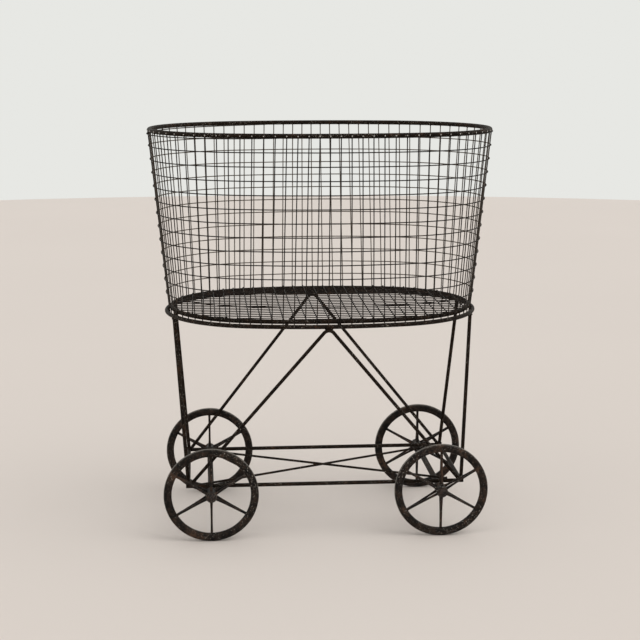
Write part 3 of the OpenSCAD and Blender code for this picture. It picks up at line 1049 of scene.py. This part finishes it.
@dataclass
class SpokedWheel:
    """One wheel: a rounded iron rim, a hub barrel and six pairs of splayed round spokes."""

    name: str
    seed: float
    rim_t: float = 0.015
    rim_w: float = 0.012
    rim_round: float = 0.0048
    hub_r: float = 0.0105
    hub_len: float = 0.034
    bore_r: float = 0.0056
    spoke_r: float = 0.002
    splay: float = 0.019
    spokes: int = 6
    end_len: float = 0.006
    neck_len: float = 0.0085
    neck_share: float = 0.94
    rim_sides: int = 160
    hub_sides: int = 64

    def blank(self, wheel_r: float) -> bpy.types.Mesh:
        """The turned rim and hub, about the Z axis.

        Args:
            wheel_r: Radius of the wheel.

        Returns:
            The mesh, with a worn attribute that is high on the tread and at the hub's ends.
        """
        inner, w = wheel_r - self.rim_t, self.rim_w / 2
        rim = rounded([(inner, -w), (wheel_r, -w), (wheel_r, w), (inner, w)], self.rim_round, 6)
        h, bore, hub, neck = self.hub_len / 2, self.bore_r, self.hub_r, self.hub_r * self.neck_share
        end, slope = h - self.end_len, h - self.neck_len
        upper = [(neck, slope), (hub, end), (hub, h), (bore, h)]
        barrel = rounded([(r, -z) for r, z in reversed(upper)] + upper, 0.001, 3)
        points, faces = lathe(rim, self.rim_sides)
        hub_points, hub_faces = lathe(barrel, self.hub_sides)
        faces += [tuple(i + len(points) for i in face) for face in hub_faces]
        points += hub_points
        mesh = bpy.data.meshes.new(self.name + "_blank")
        mesh.from_pydata(points, [], faces)
        radii = np.array([math.hypot(p.x, p.y) for p in points])
        heights = np.array([abs(p.z) for p in points])
        tread = np.clip((radii - (wheel_r - 0.0022)) / 0.002, 0, 1)
        lips = np.where(radii < 0.02, np.clip((heights - (h - 0.003)) / 0.003, 0, 1) * 0.7, 0)
        worn = mesh.attributes.new("worn", "FLOAT", "POINT")
        worn.data.foreach_set("value", np.maximum(tread, lips).astype(np.float32))
        return mesh

    def build(self) -> None:
        """Makes the wheel at its place on the cart."""
        low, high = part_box(self.name)
        wheel_r = (high.z - low.z) / 2
        sizes = {
            "Spokes": self.spokes, "Hub radius": self.hub_r * 0.8, "Rim radius": wheel_r - self.rim_t / 2,
            "Splay": self.splay / 2, "Rod radius": self.spoke_r, "Seed": self.seed,
            "Finish": SHOP.finish(Iron.CAST),
        }
        piece = grow(self.name + "_casting", self.blank(wheel_r), SPOKE_TREE, sizes)
        piece.data.transform(Matrix.Translation((low + high) / 2) @ Matrix.Rotation(math.pi / 2, 4, "X"))
        seat(piece, self.name, Iron.CAST, [self.name])


@dataclass
class AxleEnds:
    """The axles, their collars and washers, and the peened dome at each axle end."""

    dome_r: float = 0.0073
    dome_h: float = 0.0036
    skirt: float = 0.0006
    sunk: float = 0.0002

    def build(self) -> None:
        """Makes the domes and dresses the axles and rings."""
        profile = [(0.0, -self.sunk), (self.dome_r, -self.sunk), (self.dome_r * 1.02, self.skirt)]
        for turn in (math.pi / 2 * i / 8 for i in range(1, 8)):
            profile.append((self.dome_r * math.cos(turn) ** 0.8, self.skirt + self.dome_h * math.sin(turn)))
        corners, quads = lathe([*profile, (0.0, self.skirt + self.dome_h)], 40)
        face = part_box("outer_washers")[1].y
        points, faces = [], []
        for centre in (middle("axle_left"), middle("axle_right")):
            for sy in (-1, 1):
                turned = Matrix.Rotation(-sy * math.pi / 2, 4, "X")
                place = Matrix.Translation((centre.x, sy * face, centre.z)) @ turned
                faces += [tuple(i + len(points) for i in quad) for quad in quads]
                points += [place @ corner for corner in corners]
        mesh = bpy.data.meshes.new("axle_domes")
        mesh.from_pydata(points, [], faces)
        mesh.validate()
        mesh.shade_smooth()
        mesh.materials.append(SHOP.finish(Iron.WORN))
        seat(put("axle_domes", mesh), "cart", Iron.WORN)
        SHOP.dress(["axle_left", "axle_right", "inner_washers"], Iron.ROD)
        SHOP.dress(["outer_washers"], Iron.WORN)


# ---- the studio


@dataclass
class Studio:
    """Pale floor, pale surround, soft lamps and the camera."""

    floor_colour: Colour = (0.69, 0.625, 0.57)
    surround: Colour = (0.80, 0.805, 0.775)
    floor_r: float = 6.35
    floor_sides: int = 96
    sky: float = 0.68
    azimuth: float = math.radians(-4.56)
    elevation: float = math.radians(10.34)
    distance: float = 2.989
    target: tuple[float, float, float] = (-0.0002, 0.0, 0.3894)
    lens: float = 86.216

    def floor(self) -> None:
        """Lays a round pale floor."""
        sheet = FinishSheet("pale_floor")
        place = sheet.node("ShaderNodeTexCoord", out="Object")
        drift = sheet.noise(place, 0.7, 2.0, 0.5)
        darker = tuple(part * 0.955 for part in self.floor_colour)
        colour = sheet.blend(drift, darker, self.floor_colour)
        coat = {"Base Color": colour, "Roughness": 0.72, "Specular IOR Level": 0.2}
        paint = sheet.node("ShaderNodeBsdfPrincipled", None, coat)
        mesh = bpy.data.meshes.new("floor")
        mesh.from_pydata(circle(self.floor_r, self.floor_sides), [], [tuple(range(self.floor_sides))])
        mesh.materials.append(sheet.close(paint))
        put("floor", mesh)

    def air(self) -> None:
        """Surrounds the scene with even white light that looks pale grey behind the cart."""
        world = bpy.data.worlds.new("studio_air")
        world.use_nodes = True
        sheet = Sheet(world.node_tree)
        seen = sheet.node("ShaderNodeLightPath", out="Is Camera Ray")
        outs = seen.socket.node.outputs
        seen = seen + Value(sheet, outs["Is Glossy Ray"]) + Value(sheet, outs["Is Transmission Ray"])
        lamp = sheet.node("ShaderNodeBackground", None, {"Color": (1.0, 1.0, 1.0), "Strength": self.sky})
        view = sheet.node("ShaderNodeBackground", None, {"Color": self.surround})
        both = sheet.node("ShaderNodeMixShader", None, {0: seen, 1: lamp, 2: view})
        sheet.node("ShaderNodeOutputWorld", None, {"Surface": both})
        bpy.context.scene.world = world

    def sun(self, name: str, strength: float, spread: float, come_from: Sequence[float]) -> None:
        """Hangs one broad soft lamp.

        Args:
            name: Name of the lamp.
            strength: Strength of the lamp.
            spread: Angle that the lamp fills, in degrees.
            come_from: Direction that its light comes from.
        """
        lamp = bpy.data.lights.new(name, "SUN")
        lamp.energy = strength
        lamp.angle = math.radians(spread)
        put(name, lamp).rotation_euler = Vector(come_from).to_track_quat("Z", "Y").to_euler()

    def camera(self) -> None:
        """Sets up the camera."""
        level, rise = math.cos(self.elevation), math.sin(self.elevation)
        away = Vector((math.sin(self.azimuth) * level, -math.cos(self.azimuth) * level, rise))
        data = bpy.data.cameras.new("camera")
        data.lens = self.lens
        data.clip_end = 60.0
        camera = put("camera", data)
        camera.location = Vector(self.target) + away * self.distance
        camera.rotation_euler = away.to_track_quat("Z", "Y").to_euler()
        bpy.context.scene.camera = camera

    def build(self) -> None:
        """Sets the whole stage."""
        bpy.context.scene.view_settings.view_transform = "Standard"
        self.floor()
        self.air()
        self.sun("key_lamp", 1.0, 50.0, (0.75, -0.35, 1.1))
        self.sun("fill_lamp", 0.45, 70.0, (-0.5, -0.6, 1.0))
        self.camera()


def main() -> None:
    """Builds the cart's looks and its stage."""
    logging.basicConfig(level=logging.INFO, format="%(name)s: %(message)s")
    Studio().build()
    basket = WireBasket()
    basket.build()
    RodStand(basket).build()
    for i, corner in enumerate(CORNERS):
        SpokedWheel("wheel_" + corner, 2.0 + 3.1 * i).build()
    AxleEnds().build()


if __name__ == "__main__":
    main()
